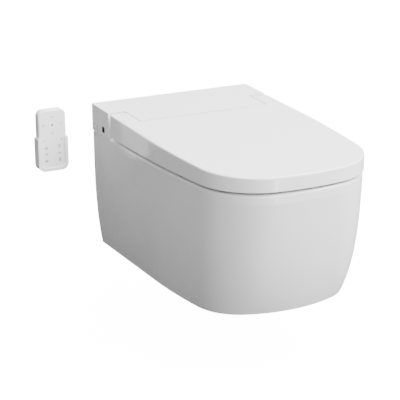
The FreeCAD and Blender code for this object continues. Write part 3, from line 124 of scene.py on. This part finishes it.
def arc_points(centre, radius, start, end, count):
    """Points along an arc: centre plus radius times the cosine and sine of evenly spaced angles."""
    angle = np.linspace(start, end, count)
    return np.stack([centre[0] + radius * np.cos(angle), centre[1] + radius * np.sin(angle)], 1)


def half_outline(shape, back, fine):
    """The right half of the D outline from the back line round to the front's middle: a straight,
    then arcs whose centres lie on each other's radii so that they meet with one tangent."""
    half, reach, straight, side, corner, front = shape
    side_centre = np.array([half - side, -straight])
    front_centre = np.array([0.0, front - reach])
    span = np.linalg.norm(front_centre - side_centre)
    along = ((side - corner) ** 2 - (front - corner) ** 2 + span ** 2) / (2 * span)
    across = math.sqrt((side - corner) ** 2 - along ** 2)
    forward = (front_centre - side_centre) / span
    corner_centre = side_centre + forward * along + np.array([forward[1], -forward[0]]) * across
    side_end = math.atan2(*(corner_centre - side_centre)[::-1])
    corner_end = math.atan2(*(corner_centre - front_centre)[::-1])
    count = [max(int(number * fine), 3) for number in (14, 26, 34, 26)]
    run = np.stack([np.full(count[0], half), np.linspace(back, -straight, count[0])], 1)
    return np.concatenate([run, arc_points(side_centre, side, 0, side_end, count[1])[1:],
                           arc_points(corner_centre, corner, side_end, corner_end, count[2])[1:],
                           arc_points(front_centre, front, corner_end, -math.pi / 2, count[3])[1:]])


def full_outline(shape, back, fine):
    """The whole D outline, from the right end of the back line round the front to the left end."""
    right = half_outline(shape, back, fine)
    left = right[:-1][::-1] * np.array([-1, 1])
    return np.concatenate([right, left])


def inset_shape(shape, inset):
    """The outline's sizes moved inwards."""
    half, reach, straight, side, corner, front = shape
    return (half - inset, reach - inset, straight, side - inset, corner - inset, front - inset)


# ---- small tools for materials -----------------------------------------------------------------

def linear(colour):
    """The linear colour of an sRGB hex value."""
    levels = [int(colour[index:index + 2], 16) / 255 for index in (1, 3, 5)]
    return [level / 12.92 if level <= 0.04045 else ((level + 0.055) / 1.055) ** 2.4
            for level in levels] + [1]


def add(tree, kind, settings=None, **inputs):
    """Add one node: settings are its properties, inputs its sockets, as values or as links."""
    made = tree.nodes.new(kind)
    for name, setting in (settings or {}).items():
        setattr(made, name, setting)
    for name, given in inputs.items():
        socket = made.inputs[int(name[1:])] if name[0] == "_" else made.inputs[name.replace("_", " ")]
        if isinstance(given, bpy.types.NodeSocket):
            tree.links.new(given, socket)
        else:
            socket.default_value = given
    return made


def finish_of(name, colour, roughness, **sockets):
    """A material with a Principled shader; returns it with its tree, shader and coordinates."""
    material = bpy.data.materials.new(name)
    material.use_nodes = True
    tree = material.node_tree
    shader = tree.nodes["Principled BSDF"]
    shader.inputs["Base Color"].default_value = linear(colour)
    shader.inputs["Roughness"].default_value = roughness
    for key, number in sockets.items():
        shader.inputs[key.replace("_", " ")].default_value = number
    spot = add(tree, "ShaderNodeTexCoord").outputs["Object"]
    return material, tree, shader, spot


def mottle(tree, spot, period, detail=3.0):
    """Noise whose blobs are about one period, in metres, across."""
    return add(tree, "ShaderNodeTexNoise", Vector=spot, Scale=1 / period, Detail=detail).outputs["Fac"]


def vary(tree, socket, factor, low, high):
    """Drive a number socket from low to high with a factor."""
    ramp = add(tree, "ShaderNodeMapRange", Value=factor, _3=low, _4=high)
    tree.links.new(ramp.outputs["Result"], socket)


def tint(tree, shader, factor, first, second):
    """Mix two close colours into the base colour."""
    ramp = add(tree, "ShaderNodeValToRGB", Fac=factor)
    ramp.color_ramp.elements[0].color = linear(first)
    ramp.color_ramp.elements[1].color = linear(second)
    ramp.color_ramp.elements[0].position = 0.3
    ramp.color_ramp.elements[1].position = 0.7
    tree.links.new(ramp.outputs["Color"], shader.inputs["Base Color"])


def relief(tree, shader, factor, depth):
    """Bump the surface by a height of so many metres."""
    bump = add(tree, "ShaderNodeBump", Height=factor, Distance=depth, Strength=1.0)
    tree.links.new(bump.outputs["Normal"], shader.inputs["Normal"])


# ---- finishes ----------------------------------------------------------------------------------

def glazed_china():
    """Vitreous china, slip cast and spray glazed: a deep even gloss over a faint orange peel, with
    the faintest cloudiness where the glaze is thicker."""
    material, tree, shader, spot = finish_of("glazed_china", "#F1F1F1", 0.12, IOR=1.52, Coat_Weight=0.35,
                                             Coat_Roughness=0.04, Coat_IOR=1.5)
    tint(tree, shader, mottle(tree, spot, 0.060), "#F2F2F2", "#F0F0EF")
    vary(tree, shader.inputs["Roughness"], mottle(tree, spot, 0.012), 0.09, 0.14)
    relief(tree, shader, mottle(tree, spot, 0.030, 1.0), 0.00002)
    return material


def moulded_duroplast():
    """Urea thermoset, press moulded in a polished tool: hard white gloss with a slight waviness."""
    material, tree, shader, spot = finish_of("moulded_duroplast", "#F3F3F3", 0.13, IOR=1.5,
                                             Coat_Weight=0.2, Coat_Roughness=0.08)
    tint(tree, shader, mottle(tree, spot, 0.080), "#F4F4F4", "#F1F1F1")
    vary(tree, shader.inputs["Roughness"], mottle(tree, spot, 0.006), 0.11, 0.16)
    relief(tree, shader, mottle(tree, spot, 0.015, 1.0), 0.000008)
    return material


def moulded_abs():
    """White ABS, injection moulded in a lightly etched tool: satin, with fine grain."""
    material, tree, shader, spot = finish_of("moulded_abs", "#EFEFEF", 0.32, IOR=1.53)
    tint(tree, shader, mottle(tree, spot, 0.030), "#F0F0F0", "#EEEEED")
    vary(tree, shader.inputs["Roughness"], mottle(tree, spot, 0.002), 0.28, 0.38)
    relief(tree, shader, mottle(tree, spot, 0.0008, 2.0), 0.000006)
    return material


def grey_abs():
    """Dark grey ABS of the hidden housings, coarser spark-eroded grain."""
    material, tree, shader, spot = finish_of("grey_abs", "#5B5E62", 0.5, IOR=1.53)
    tint(tree, shader, mottle(tree, spot, 0.012), "#5E6165", "#565A5E")
    relief(tree, shader, mottle(tree, spot, 0.0007, 2.0), 0.00002)
    return material


def zinc_plate():
    """Steel sheet and pins, zinc plated: dull silver with drawn-out rolling marks."""
    material, tree, shader, spot = finish_of("zinc_plate", "#B9BCBF", 0.35, Metallic=1.0)
    along = add(tree, "ShaderNodeMapping", Vector=spot, Scale=(0.08, 1.0, 1.0)).outputs["Vector"]
    tint(tree, shader, mottle(tree, along, 0.002), "#BFC2C5", "#AEB2B6")
    vary(tree, shader.inputs["Roughness"], mottle(tree, spot, 0.010), 0.28, 0.45)
    return material


def soft_rubber():
    """Grey thermoplastic rubber pads: matt with a dusty grain."""
    material, tree, shader, spot = finish_of("soft_rubber", "#B4B6B8", 0.8, IOR=1.5)
    tint(tree, shader, mottle(tree, spot, 0.004), "#B8BABC", "#ADAFB2")
    relief(tree, shader, mottle(tree, spot, 0.0006, 2.0), 0.00003)
    return material


def smoked_window():
    """Smoked polycarbonate over the sensor: near black and polished, with fine rubbing marks."""
    material, tree, shader, spot = finish_of("smoked_window", "#0C0D10", 0.08, IOR=1.58, Coat_Weight=0.5)
    vary(tree, shader.inputs["Roughness"], mottle(tree, spot, 0.0015), 0.06, 0.12)
    return material


def lamp_lens():
    """Tinted acrylic light guides: clear blue-grey with a frosted end."""
    material, tree, shader, spot = finish_of("lamp_lens", "#6F8296", 0.25, IOR=1.49)
    vary(tree, shader.inputs["Roughness"], mottle(tree, spot, 0.001), 0.2, 0.35)
    return material


def circuit_board():
    """Glass-epoxy board with green resist: dark tracks on a fine rectangular raster."""
    material, tree, shader, spot = finish_of("circuit_board", "#14532D", 0.4, IOR=1.55)
    tracks = add(tree, "ShaderNodeTexBrick", Vector=spot, Scale=1 / 0.004, Color1=linear("#1B6B3A"),
                 Color2=linear("#124A28"), Mortar=linear("#0C3A1E"), Mortar_Size=0.04)
    tree.links.new(tracks.outputs["Color"], shader.inputs["Base Color"])
    return material


def heater_foil():
    """Polyimide film with an etched heating track: amber, with parallel bands."""
    material, tree, shader, spot = finish_of("heater_foil", "#B8741E", 0.3, IOR=1.6)
    bands = add(tree, "ShaderNodeTexWave", Vector=spot, Scale=1 / 0.006 / ROUND * 2,
                Distortion=0.4).outputs["Fac"]
    tint(tree, shader, bands, "#C98426", "#7B5A3A")
    return material


def turned_brass():
    """Brass tube, turned: yellow metal with fine rings."""
    material, tree, shader, spot = finish_of("turned_brass", "#C8A45A", 0.25, Metallic=1.0)
    tint(tree, shader, mottle(tree, spot, 0.003), "#CFAC62", "#B8934A")
    vary(tree, shader.inputs["Roughness"], mottle(tree, spot, 0.001), 0.2, 0.35)
    return material


def black_nylon():
    """Glass-filled nylon tank: near black with a dry, fibrous surface."""
    material, tree, shader, spot = finish_of("black_nylon", "#1D1E20", 0.55, IOR=1.53)
    tint(tree, shader, mottle(tree, spot, 0.003), "#202124", "#18191B")
    relief(tree, shader, mottle(tree, spot, 0.0012, 3.0), 0.00003)
    return material


def print_ink():
    """Pad-printed near-black ink of the key symbols, a little rougher than the plastic under it."""
    material, tree, shader, spot = finish_of("print_ink", "#202226", 0.55, IOR=1.5)
    tint(tree, shader, mottle(tree, spot, 0.001), "#222428", "#1C1E22")
    return material


FINISHES = {"glazed_ceramic": glazed_china(), "white_gloss": moulded_duroplast(),
            "seat_white": moulded_duroplast(), "grey_plastic": grey_abs(),
            "steel": zinc_plate(), "nozzle_white": moulded_abs(),
            "rubber": soft_rubber(), "dark_window": smoked_window(), "lamp": lamp_lens(),
            "board": circuit_board(), "heater_film": heater_foil(), "brass": turned_brass(),
            "tank": black_nylon(), "handset_white": moulded_abs()}
INK = print_ink()
SLOT_OF = {part["node"]: part["material_slot"] for part in frame["record"]["subparts"]}
BODY_OF = {name: body for body, names in frame["record"]["behaviour"]["bodies"].items()
           for name in names}

for name, item in frame["nodes"].items():
    item.data.materials.clear()
    item.data.materials.append(FINISHES[SLOT_OF[name]])


# ---- printed symbols ---------------------------------------------------------------------------

def bar(start, end, width):
    """A straight stroke: the four corners half a width to each side of its two ends."""
    start, end = np.array(start, float), np.array(end, float)
    along = (end - start) / np.linalg.norm(end - start)
    side = np.array([-along[1], along[0]]) * width / 2
    return np.array([start - side, end - side, end + side, start + side])


def bow(centre, radius, width, first, last):
    """A curved stroke: an outer arc and back along an inner one, at radius plus and minus half a
    width."""
    angle = np.radians(np.linspace(first, last, 25))
    ring = np.stack([np.cos(angle), np.sin(angle)], 1)
    return np.concatenate([ring * (radius + width / 2), ring[::-1] * (radius - width / 2)]) + centre


def drop(centre, size):
    """A water drop: a circle whose width shrinks as the square of half the angle's sine to a point."""
    angle = np.linspace(0, ROUND, 32, endpoint=False)
    across = np.sin(angle) * np.sin(angle / 2) ** 2
    return np.stack([across * -size, np.cos(angle) * size], 1) + centre


def chevron(turn, size, width):
    """An arrow head: two strokes that meet in a mitred point, turned by so many degrees."""
    reach, thick = size, width * 1.2
    points = np.array([(-reach, -reach / 2), (0, reach / 2), (reach, -reach / 2),
                       (reach, -reach / 2 - thick), (0, reach / 2 - thick),
                       (-reach, -reach / 2 - thick)])[::-1]
    angle = math.radians(turn)
    spin = np.array([(math.cos(angle), math.sin(angle)), (-math.sin(angle), math.cos(angle))])
    return points @ spin


def dot(centre, radius):
    """A small disc."""
    angle = np.linspace(0, ROUND, 24, endpoint=False)
    return np.stack([np.cos(angle), np.sin(angle)], 1) * radius + centre


def printed(name, shapes, place, across, outward, body, scale=1.0):
    """Flat strokes, in mm about a place, raised a little off the surface and sunk a little into it."""
    across, outward, up = np.array(across, float), np.array(outward, float), np.array([0.0, 0.0, 1.0])
    points, faces = [], []
    for shape in shapes:
        flat = np.asarray(shape) * MM * scale
        spread = flat[:, :1] * across + flat[:, 1:] * up + np.array(place)
        first, count = len(points), len(flat)
        points.extend(spread - outward * INK_SUNK * MM)
        points.extend(spread + outward * INK_RAISED * MM)
        faces.extend(grid_faces(2, count, first=first))
        faces.append([first + index for index in range(count)][::-1])
        faces.append([first + count + index for index in range(count)])
    piece = mesh_object(name, points, faces, smooth=False)
    outside(piece)
    piece.data.materials.append(INK)
    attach(piece, body)


def outside(piece):
    """Turn every face of a closed piece to look outwards."""
    work = bmesh.new()
    work.from_mesh(piece.data)
    bmesh.ops.recalc_face_normals(work, faces=work.faces)
    work.to_mesh(piece.data)
    work.free()


HANDSET_SYMBOLS = {
    "up": [chevron(0, 2.3, ARROW_STROKE)], "down": [chevron(180, 2.3, ARROW_STROKE)],
    "left": [chevron(-90, 2.3, ARROW_STROKE)], "right": [chevron(90, 2.3, ARROW_STROKE)],
    "stop": [np.array([(-1.6, -1.6), (1.6, -1.6), (1.6, 1.6), (-1.6, 1.6)])],
    "minus": [bar((-1.9, 0), (1.9, 0), ARROW_STROKE)],
    "plus": [bar((-1.9, 0), (1.9, 0), ARROW_STROKE), bar((0, 0.4), (0, 1.9), ARROW_STROKE),
             bar((0, -1.9), (0, -0.4), ARROW_STROKE)],
    "rear_wash": [bow((0, 2.2), 2.6, STROKE, 200, 340), drop((0, -2.0), 1.3), drop((-1.9, -1.4), 0.9),
                  drop((1.9, -1.4), 0.9)],
    "front_wash": [bow((0, 1.6), 1.3, STROKE, 0, 359), drop((0, -1.9), 1.4)],
    "dryer": [bar((-2.2, -1.8), (-1.2, 1.8), STROKE), bar((-0.5, -1.8), (0.5, 1.8), STROKE),
              bar((1.2, -1.8), (2.2, 1.8), STROKE)],
    "sweep": [bar((-1.6, 0), (1.6, 0), STROKE), np.array([(-2.9, 0), (-1.5, -1.1), (-1.5, 1.1)]),
              np.array([(2.9, 0), (1.5, 1.1), (1.5, -1.1)])],
    "water_heat": [drop((-0.9, 0.2), 2.1), bar((1.6, -1.9), (1.6, 1.2), STROKE), dot((1.6, -1.9), 0.8)],
    "seat_heat": [bow((0, 0.9), 1.7, STROKE, 0, 359), bar((-2.2, -2.3), (2.2, -2.3), STROKE)]}
PANEL_SYMBOLS = {
    "power": [bow((0, 0), 1.9, PANEL_STROKE, 125, 415), bar((0, 0.5), (0, 2.3), PANEL_STROKE)],
    "rear_wash": [bow((0, 2.0), 2.3, PANEL_STROKE, 200, 340), drop((0, -1.6), 1.2)],
    "light": [bow((0, 0), 1.1, PANEL_STROKE, 0, 359), bar((0, 1.9), (0, 2.6), PANEL_STROKE),
              bar((0, -2.6), (0, -1.9), PANEL_STROKE), bar((1.9, 0), (2.6, 0), PANEL_STROKE),
              bar((-2.6, 0), (-1.9, 0), PANEL_STROKE)],
    "front_wash": [bow((0, 1.2), 1.2, PANEL_STROKE, 0, 359), drop((0, -1.7), 1.2)]}


def print_symbols():
    """Symbols on every key, set on the middle of the key's face, and three dots at the handset's
    foot."""
    for key, shapes in HANDSET_SYMBOLS.items():
        low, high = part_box("remote_key_" + key)
        printed("print_" + key, shapes, ((low.x + high.x) / 2, low.y, (low.z + high.z) / 2), (1, 0, 0),
                (0, -1, 0), BODY_OF["remote_key_" + key], HANDSET_SCALE)
    for key, shapes in PANEL_SYMBOLS.items():
        low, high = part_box("panel_key_" + key)
        printed("print_panel_" + key, shapes, (low.x, (low.y + high.y) / 2, (low.z + high.z) / 2),
                (0, -1, 0), (-1, 0, 0), BODY_OF["panel_key_" + key], PANEL_SCALE)
    low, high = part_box("remote_front")
    foot = ((low.x + high.x) / 2 + 0.5 * MM, low.y, low.z + 10 * MM)
    printed("print_foot", [dot((step, 0), 0.75) for step in (-6.5, 0, 6.5)], foot, (1, 0, 0), (0, -1, 0),
            "remote")


# ---- shells that show --------------------------------------------------------------------------

def rounded_rectangle(low, high, radius, count=12):
    """A rounded rectangle's path: four quarter circles of the radius, joined by straight runs."""
    centres = [(high[0] - radius, high[1] - radius), (low[0] + radius, high[1] - radius),
               (low[0] + radius, low[1] + radius), (high[0] - radius, low[1] + radius)]
    quarters = [arc_points(centre, radius, index * math.pi / 2, (index + 1) * math.pi / 2, count)
                for index, centre in enumerate(centres)]
    return np.concatenate(quarters)


def handset_face():
    """Front shell of the handset: the rounded rectangle carried forwards, then drawn in along a quarter
    ellipse so that the edge is soft, with a flat face."""
    low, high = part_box("remote_front")
    radius, soft, deep = HANDSET_CORNER, HANDSET_SOFT, HANDSET_DEEP
    rows = [(high.y, 0.5 * MM), (high.y, 0.0), (high.y - 0.4 * MM, 0.0), (low.y + deep + 0.4 * MM, 0.0)]
    for step in np.linspace(0, math.pi / 2, 9):
        rows.append((low.y + deep * (1 - math.sin(step)), soft * (1 - math.cos(step))))
    rows.append((low.y, soft + 0.4 * MM))
    rows.append((low.y, soft + 3 * MM))
    rings = []
    for depth, inset in rows:
        path = rounded_rectangle((low.x + inset, low.z + inset), (high.x - inset, high.z - inset),
                                 radius - inset)
        rings.append(np.stack([path[:, 0], np.full(len(path), depth), path[:, 1]], 1))
    piece = stacked("handset_face", rings)
    outside(piece)
    piece.data.materials.append(FINISHES["handset_white"])
    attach(piece, "remote")
    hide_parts("remote_front")


def seat_section(width, dish, tall):
    """Across the seat: a slab with a round on each edge, and a top between them that dips by the dish,
    as the sine squared of its place across."""
    inner, outer, low = SEAT_INNER, SEAT_OUTER, SEAT_LOWER
    points = [(low * (1 - math.cos(angle)), low * (1 - math.sin(angle)))
              for angle in np.linspace(math.pi / 2, 0, 4)]
    points += [(inner * (1 - math.cos(angle)), tall - inner + inner * math.sin(angle))
               for angle in np.linspace(0, math.pi / 2, 9)]
    for share in np.linspace(0, 1, 14)[1:-1]:
        across = inner + (width - inner - outer) * share
        points.append((across, tall - dish * math.sin(math.pi * share) ** 2))
    points += [(width - outer + outer * math.sin(angle), tall - outer + outer * math.cos(angle))
               for angle in np.linspace(0, math.pi / 2, 9)]
    points += [(width - low * (1 - math.sin(angle)), low * (1 - math.cos(angle)))
               for angle in np.linspace(math.pi / 2, 0, 4)]
    return np.array(points)


def seat_ring():
    """Seat: a section that keeps its rounds is swept from one end at the nose round the opening to the
    other; the inner line is two straight runs and half an ellipse, the outer line the lid's outline
    moved in, met along rays from the middle of the opening."""
    low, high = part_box("seat_top")
    back, centre, half, reach = high.y, OPENING_CENTRE, OPENING_HALF_WIDTH, OPENING_REACH
    outline = full_outline(inset_shape(RIM_OUTLINE, HALF_WIDTH - high.x), back, 3.0)
    straight = np.linspace(back, centre, 40)[:-1]
    side = np.interp(-straight, -outline[:len(outline) // 2, 1], outline[:len(outline) // 2, 0])
    runs = [(np.array([half, level]), np.array([edge, level])) for edge, level in zip(side, straight)]
    bearing = np.unwrap(np.arctan2(outline[:, 1] - centre, outline[:, 0]))
    distance = np.hypot(outline[:, 0], outline[:, 1] - centre)
    front = []
    for angle in np.linspace(0, -math.pi, 121):
        inside = np.array([half * math.cos(angle), reach * math.sin(angle)])
        ray = math.atan2(inside[1], inside[0])
        ray = -math.pi if angle == -math.pi else ray
        far = np.interp(-ray, -bearing, distance)
        outside_point = np.array([math.cos(ray), math.sin(ray)]) * far
        front.append((inside + (0, centre), outside_point + (0, centre)))
    runs = runs + front + [(near * (-1, 1), far * (-1, 1)) for near, far in runs[::-1]]
    rings = []
    for near, far in runs:
        width = np.linalg.norm(far - near)
        section = seat_section(width, SEAT_DISH, high.z - low.z)
        flat = near + (far - near) / width * section[:, :1]
        rings.append(np.concatenate([flat, section[:, 1:] + low.z], 1))
    piece = stacked("seat_ring", rings)
    outside(piece)
    piece.data.materials.append(FINISHES["seat_white"])
    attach(piece, "seat")
    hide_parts("seat_top")


handset_face()
seat_ring()
print_symbols()


# ---- stage, light and camera -------------------------------------------------------------------

def pale_stage():
    """Floor 400 mm under the rim, where it would be under such a pan. It glows, so that it stays
    white, and its light is kept off the object."""
    material, tree, shader, spot = finish_of("pale_floor", "#FFFFFF", 0.9)
    vary(tree, shader.inputs["Roughness"], mottle(tree, spot, 0.2), 0.85, 0.95)
    level, side = RIM - FLOOR_DROP, FLOOR_REACH
    corners = [(-side, -side, level), (side, -side, level), (side, side, level), (-side, side, level)]
    floor = mesh_object("floor", corners, [(0, 1, 2, 3)])
    floor.data.materials.append(material)
    shader.inputs["Emission Color"].default_value = (1, 1, 1, 1)
    shader.inputs["Emission Strength"].default_value = FLOOR_GLOW
    floor.visible_diffuse = False
    floor.visible_glossy = False


def soft_light(name, place, aim, wide, tall, power):
    """A rectangular soft box at a place, turned to face its aim and hidden from the camera itself."""
    lamp = bpy.data.lights.new(name, "AREA")
    lamp.shape = "RECTANGLE"
    lamp.size, lamp.size_y = wide, tall
    lamp.energy = power
    item = bpy.data.objects.new(name, lamp)
    item.location = place
    item.rotation_euler = (Vector(aim) - Vector(place)).to_track_quat("-Z", "Y").to_euler()
    item.visible_camera = False
    bpy.context.scene.collection.objects.link(item)


def narrow_light(name, place, aim, cone, power):
    """A spot of a few degrees with a soft edge."""
    lamp = bpy.data.lights.new(name, "SPOT")
    lamp.spot_size, lamp.spot_blend = math.radians(cone), 0.5
    lamp.shadow_soft_size = 0.05
    lamp.energy = power
    item = bpy.data.objects.new(name, lamp)
    item.location = place
    item.rotation_euler = (Vector(aim) - Vector(place)).to_track_quat("-Z", "Y").to_euler()
    bpy.context.scene.collection.objects.link(item)


def studio():
    """Surroundings that are bright above, ahead and to the right and dim on the left, a large key from
    the front right, a tall narrow strip for the highlight on the front, a fill from above, and a narrow
    light on the handset."""
    world = bpy.data.worlds.new("studio")
    world.use_nodes = True
    tree = world.node_tree
    away = add(tree, "ShaderNodeTexCoord").outputs["Generated"]
    toward = add(tree, "ShaderNodeVectorMath", {"operation": "DOT_PRODUCT"}, _0=away,
                 _1=(0.62, -0.25, 0.74))
    glow = add(tree, "ShaderNodeMapRange", Value=toward.outputs["Value"], _1=-0.6, _2=0.9, _3=0.1, _4=2.6)
    tree.links.new(glow.outputs["Result"], tree.nodes["Background"].inputs["Strength"])
    tree.nodes["Background"].inputs["Color"].default_value = (1, 1, 1, 1)
    bpy.context.scene.world = world
    soft_light("key_light", (2.1, -2.1, 2.1), (0, -0.3, 0), 1.5, 1.5, 172)
    soft_light("top_light", (0.3, -0.7, 2.6), (0, -0.3, 0), 2.4, 2.4, 165)
    soft_light("strip_light", (0.14, -1.61, 0.12), (-0.08, -0.594, 0.12), 0.13, 0.78, 4.5)
    narrow_light("handset_light", (-0.1, -1.8, 1.2), (-0.292, -0.02, 0.075), 6.5, 90)


def place_camera():
    """Long lens from the front left, a little above, with a slight roll."""
    turn, rise, roll = math.radians(-27.17), math.radians(17.9), math.radians(-0.35)
    back = Vector((math.sin(turn) * math.cos(rise), -math.cos(turn) * math.cos(rise), math.sin(rise)))
    flat = Vector((math.cos(turn), math.sin(turn), 0))
    raised = back.cross(flat)
    right = flat * math.cos(roll) + raised * math.sin(roll)
    up = raised * math.cos(roll) - flat * math.sin(roll)
    aim = Vector((0, -0.3, RIM - 0.1)) + right * -0.07276 + up * -0.00497
    lens = bpy.data.cameras.new("camera")
    lens.lens = 128.9
    lens.sensor_width = 36
    camera = bpy.data.objects.new("camera", lens)
    facing = Matrix((right, up, back)).transposed().to_4x4()
    camera.matrix_world = Matrix.Translation(aim + back * 2.9768) @ facing
    bpy.context.scene.collection.objects.link(camera)
    bpy.context.scene.camera = camera


pale_stage()
studio()
place_camera()
